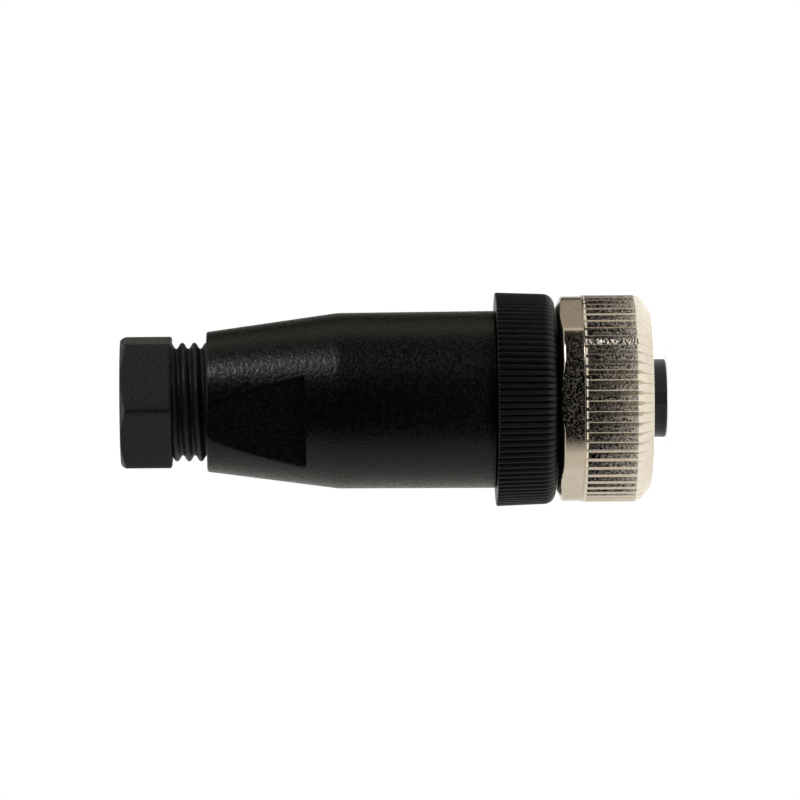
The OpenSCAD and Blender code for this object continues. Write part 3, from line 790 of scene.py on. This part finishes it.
# %% The carrier's stem
THREAD_FRONT, CARRIER_REAR = RING_REAR + 1.4, ring_high.z
NOSE_HOLE_R, NOSE_SEAT, INSERT_HOLE_R, INSERT_SEAT = 3.875, 9.0, 5.45, 14.45
NECK_R, CLIP_SEAT_R, CLIP_FRONT = 6.92, 6.52, 8.85
STEM_R, STEM_CORE_R, STEM_WALL_R = 8.0, 7.42, 6.65
LOCK_GROOVE_R, LOCK_LOW, LOCK_HIGH = 7.05, 15.925, 16.7
stem_section = rounded(
    [
        (NOSE_HOLE_R, neck_front, 0),
        (NECK_R, neck_front, 0.3),
        (NECK_R, CLIP_FRONT, 0),
        (CLIP_SEAT_R, CLIP_FRONT, 0),
        (CLIP_SEAT_R, CLIP_HIGH, 0),
        (NECK_R, CLIP_HIGH, 0),
        (NECK_R, RING_FRONT + 0.01, 0),
        (RING_CORE_R + 0.02, RING_FRONT + 0.01, 0),
        (RING_CORE_R + 0.02, RING_REAR - 0.01, 0),
        (STEM_CORE_R, RING_REAR, 0),
        (STEM_CORE_R, THREAD_FRONT, 0),
        (STEM_R, THREAD_FRONT, 0.2),
        (STEM_R, CARRIER_REAR, 0.3),
        (STEM_WALL_R, CARRIER_REAR, 0),
        (STEM_WALL_R, LOCK_HIGH, 0),
        (LOCK_GROOVE_R, LOCK_HIGH, 0),
        (LOCK_GROOVE_R, LOCK_LOW, 0),
        (STEM_WALL_R, LOCK_LOW, 0),
        (STEM_WALL_R, INSERT_SEAT, 0),
        (INSERT_HOLE_R, INSERT_SEAT, 0),
        (INSERT_HOLE_R, NOSE_SEAT, 0),
        (NOSE_HOLE_R, NOSE_SEAT, 0),
    ]
)
carrier_stem = turned_shell("carrier_stem", stepped(stem_section, 0.1), full_circle(128))
weigh_thread(carrier_stem, THREAD_FRONT, CARRIER_REAR + 0.2, 0.3, inner=STEM_R - 0.4)
STEM_DEPTH, STEM_PITCH = 0.54, 1.0
through(carrier_stem, THREAD, Depth=STEM_DEPTH * MM, Pitch=STEM_PITCH * MM, Start=0.0, Finish=ring_black)
finished(carrier_stem, "carrier", ring_black)

# %% [markdown]
# ## The housing
# A black moulded sleeve, almost a cylinder, that tapers towards the gland. Two
# spanner flats are cut into its small end, and the nearer one looks a little
# down. The flats are a second limit on the turned radius, which only counts
# behind the height where they start.

# %% The tapered sleeve with its flats
house_low, house_high = (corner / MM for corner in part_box("housing"))
HOUSE_FRONT, HOUSE_REAR, HOUSE_R = house_low.z, house_high.z, house_high.x
SHOULDER_R, SMALL_R = HOUSE_R - 0.08, 7.37
SHOULDER_Z = HOUSE_REAR - 13.85
FLAT_R, FLATS_FRONT = 7.2, HOUSE_REAR - 10.3
FLAT_ANGLE = math.radians(270 - 18)
FLAT_STEP, FLAT_BLEND = 0.12, 0.05
WALL_R = 7.3


def cut_flats(radius, height, theta):
    facing = np.abs(np.cos(theta - FLAT_ANGLE))
    flat = FLAT_R / np.maximum(facing, 0.3)
    flattened = (height > FLATS_FRONT - 0.005) & (radius > 7.0)
    return np.where(flattened, softer(radius, flat, FLAT_BLEND), radius)


house_section = rounded(
    [
        (8.69, HOUSE_FRONT, 0),
        (HOUSE_R, HOUSE_FRONT, 0.2),
        (SHOULDER_R, SHOULDER_Z, 6.0),
        (SMALL_R, HOUSE_REAR, 0.25),
        (6.67, HOUSE_REAR, 0),
        (6.32, HOUSE_REAR - 0.35, 0),
        (6.32, 40.075, 0),
        (5.6, 39.675, 0),
        (5.6, 28.925, 0),
        (4.4, 28.925, 0),
        (4.4, 28.5, 0),
        (7.36, 26.8, 0),
        (7.36, 24.2, 0),
        (8.07, 24.2, 0),
        (8.07, 19.95, 0),
        (8.69, 19.4, 0),
    ],
    steps=8,
)
edge_row = next(k for k, p in enumerate(house_section) if p[1] > FLATS_FRONT and p[0] > SMALL_R - 0.01)
before, after = house_section[edge_row - 1], house_section[edge_row]
for height in (FLATS_FRONT, FLATS_FRONT - FLAT_STEP):
    share = (height - before[1]) / (after[1] - before[1])
    house_section.insert(edge_row, before + (after - before) * share)
house_rows = stepped(
    house_section, 0.25, seen=lambda point: point[0] > WALL_R and point[1] > 30, coarse=3.0
)
housing = turned_shell("housing_sleeve", house_rows, full_circle(480), cut_flats)
finished(housing, "shell", housing_black, ["housing"], crease=25)

# %% [markdown]
# ## The gland nut
# A hexagon head with rounded moulded edges and a chamfered crown, on a coarse
# threaded stem. The crest of the thread comes up to the head on the near side
# and sinks away on the far side, which only a true helix shows.

# %% The gland's hexagon
gland_low, gland_high = (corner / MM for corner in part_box("gland_nut"))
GLAND_REAR, STEM_FRONT = gland_high.z, gland_low.z
HEX_FRONT = GLAND_REAR - 5.43
HEX_FLAT, HEX_BLEND, HEAD_R, CABLE_R = 6.6, 0.26, 7.9, 3.25
HEX_TURN = math.radians(270 - 7)
EDGE = 0.22


def cut_head(radius, height, theta):
    side = hexagon_radius(theta - HEX_TURN, HEX_FLAT, HEX_BLEND)
    near = np.clip(EDGE - (height - HEX_FRONT), 0, EDGE)
    relief = EDGE - np.sqrt(np.maximum(EDGE**2 - near**2, 0))
    return np.where(radius > CABLE_R + 0.8, softer(radius, side - relief, 0.04), radius)


head_section = rounded(
    [
        (CABLE_R, HEX_FRONT, 0),
        (HEAD_R, HEX_FRONT, 0),
        (HEAD_R, GLAND_REAR - 0.81, 0.1),
        (6.5, GLAND_REAR, 0.2),
        (CABLE_R + 0.6, GLAND_REAR, 0.1),
        (CABLE_R, GLAND_REAR - 0.6, 0.1),
    ],
    steps=5,
)
gland_head = turned_shell(
    "gland_head", stepped(head_section, 0.11), sixth + HEX_TURN, cut_head, whole=False
)
through(gland_head, COPIES, Copies=6, Finish=gland_black)
finished(gland_head, "gland", gland_black, ["gland_nut"])

# %% The gland's threaded stem
GLAND_R, GLAND_PITCH, GLAND_DEPTH = 6.25, 1.27, 0.61
GLAND_START = 49.67
stem_rows = rounded(
    [
        (CABLE_R, STEM_FRONT, 0),
        (GLAND_R - 0.5, STEM_FRONT, 0.2),
        (GLAND_R, STEM_FRONT + 0.5, 0.2),
        (GLAND_R, HEX_FRONT + 0.1, 0),
        (CABLE_R, HEX_FRONT + 0.1, 0),
    ]
)
gland_stem = turned_shell("gland_thread", stepped(stem_rows, 0.07), full_circle(160))
weigh_thread(gland_stem, STEM_FRONT + 0.3, HEX_FRONT + 1.0, 0.5, inner=5.9)
through(
    gland_stem, THREAD,
    Depth=GLAND_DEPTH * MM, Pitch=GLAND_PITCH * MM, Start=GLAND_START * MM, Finish=gland_black,
)
finished(gland_stem, "gland", gland_black)

# %% [markdown]
# ## The socket insert
# The moulded insert carries four contacts behind funnel-shaped holes, and a
# keyway down its nose lets the plug in one way round only. It is a turned
# solid with holes, so here the turned blank is cut with plain cutters.

# %% The insert with its keyway and holes
NOSE_R = 4.125
KEY_WIDTH, KEY_DEPTH, NOSE_LENGTH = 1.25, 0.65, 6.35
POLES, POLE_R, FIRST_POLE = 4, 2.75, math.radians(270 + 45)


def welded_solid(name, rows, columns, centre=(0.0, 0.0)):
    """A closed turned solid, set at a place across the axis."""
    made = turned_shell(name, rounded(rows), full_circle(columns))
    made.data.transform(Matrix.Translation((centre[0] * MM, centre[1] * MM, 0)))
    welded(made.data)
    return made


def carve(piece, tool):
    """Cuts one solid from another and removes the cutter."""
    step = piece.modifiers.new("carve", "BOOLEAN")
    step.object, step.operation, step.solver = tool, "DIFFERENCE", "EXACT"
    applied(piece)
    bpy.data.objects.remove(tool)


insert_rows = [
    (0, 0, 0),
    (NOSE_R, 0, 0.3),
    (NOSE_R, NOSE_LENGTH, 0),
    (3.825, NOSE_LENGTH, 0),
    (3.825, 9.05, 0),
    (5.4, 9.05, 0),
    (5.4, 14.5, 0),
    (6.6, 14.5, 0),
    (6.6, 15.9, 0),
    (5.4, 15.9, 0),
    (5.4, 27.0, 0.4),
    (0, 27.0, 0),
]
insert = welded_solid("insert_body", insert_rows, 128)
# A funnel leads the pin in, then the hole widens in steps for the contact's spring, body and screw.
hole_rows = [
    (0, -1, 0),
    (0.95, -1, 0),
    (0.85, 0, 0.05),
    (0.62, 0.25, 0.05),
    (0.62, 0.85, 0),
    (1.0, 0.85, 0),
    (1.0, 9.25, 0),
    (1.3, 9.25, 0),
    (1.3, 15.5, 0),
    (1.65, 15.5, 0),
    (1.65, 28, 0),
    (0, 28, 0),
]
for pole in range(POLES):
    turn_by = FIRST_POLE + math.radians(90) * pole
    place = (POLE_R * math.cos(turn_by), POLE_R * math.sin(turn_by))
    carve(insert, welded_solid("hole", hole_rows, 40, place))
CUTTER_LENGTH, CUTTER_HEIGHT = 9.0, 2.0
key = bpy.data.meshes.new("key")
block = bmesh.new()
bmesh.ops.create_cube(block, size=1.0)
for corner_point in block.verts:
    x, y, z = corner_point.co
    out_of_nose = (y - 0.5) * CUTTER_HEIGHT - (NOSE_R - KEY_DEPTH)
    along_nose = z * CUTTER_LENGTH + NOSE_LENGTH - 3.6
    corner_point.co = Vector((x * KEY_WIDTH, out_of_nose, along_nose)) * MM
block.to_mesh(key)
block.free()
key_tool = bpy.data.objects.new("key", key)
bpy.context.scene.collection.objects.link(key_tool)
carve(insert, key_tool)
finished(insert, "carrier", insert_black, ["socket_insert"], crease=28)

# %% [markdown]
# ## Rings and seals
# Inside, a wire ring holds the nut on the neck, rubber rings keep water out and
# a rubber sleeve grips the cable. The rubber rings and the sleeve are turned too,
# so they come from the same sections; the wire ring keeps its solid.


# %% Rubber rings and sleeve
def ring_section_of(middle_r, wire_r, z, steps=20):
    return [
        np.array((middle_r + wire_r * math.cos(a), z + wire_r * math.sin(a)))
        for a in np.arange(steps) * 2 * math.pi / steps
    ]


def ring_in(box_name, wire_r):
    """A ring that fills the box of its CAD node, from its wire radius."""
    low, high = (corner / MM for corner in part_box(box_name))
    return ring_section_of(high.x - wire_r, wire_r, (low.z + high.z) / 2)


for name, wire in (("face_seal", 0.675), ("body_seal", 0.6)):
    seal = turned_shell(name + "_ring", ring_in(name, wire), full_circle(96))
    finished(seal, "carrier", rubber_black, [name])

sleeve_low, sleeve_high = (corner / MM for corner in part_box("sealing_sleeve"))
sleeve_section = rounded(
    [
        (3.0, sleeve_low.z, 0.3),
        (sleeve_high.x, sleeve_low.z, 0.3),
        (sleeve_high.x, sleeve_high.z, 0.6),
        (3.0, sleeve_high.z, 0.3),
    ]
)
sleeve = turned_shell("cable_sleeve", stepped(sleeve_section, 0.6), full_circle(96))
finished(sleeve, "cable_seal", rubber_black, ["sealing_sleeve"])

# %% [markdown]
# ## Small parts that keep their solids
# Contacts, terminal screws, the locking ring, the cage, its washer and the wire
# ring are already the right shape, so they only get their finish.

# %% Finishes for the small solids
KEPT = {
    "contact_1": contact_brass,
    "contact_2": contact_brass,
    "contact_3": contact_brass,
    "contact_4": contact_brass,
    "terminal_screw_1": spring_steel,
    "terminal_screw_2": spring_steel,
    "terminal_screw_3": spring_steel,
    "terminal_screw_4": spring_steel,
    "insert_lock_ring": spring_steel,
    "nut_snap_ring": spring_steel,
    "thrust_washer": spring_steel,
    "clamp_cage": cage_grey,
}
for node_name, finish in KEPT.items():
    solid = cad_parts[node_name]
    for index in range(len(solid.data.materials)):
        solid.material_slots[index].material = finish
    print(node_name, "->", finish.name)
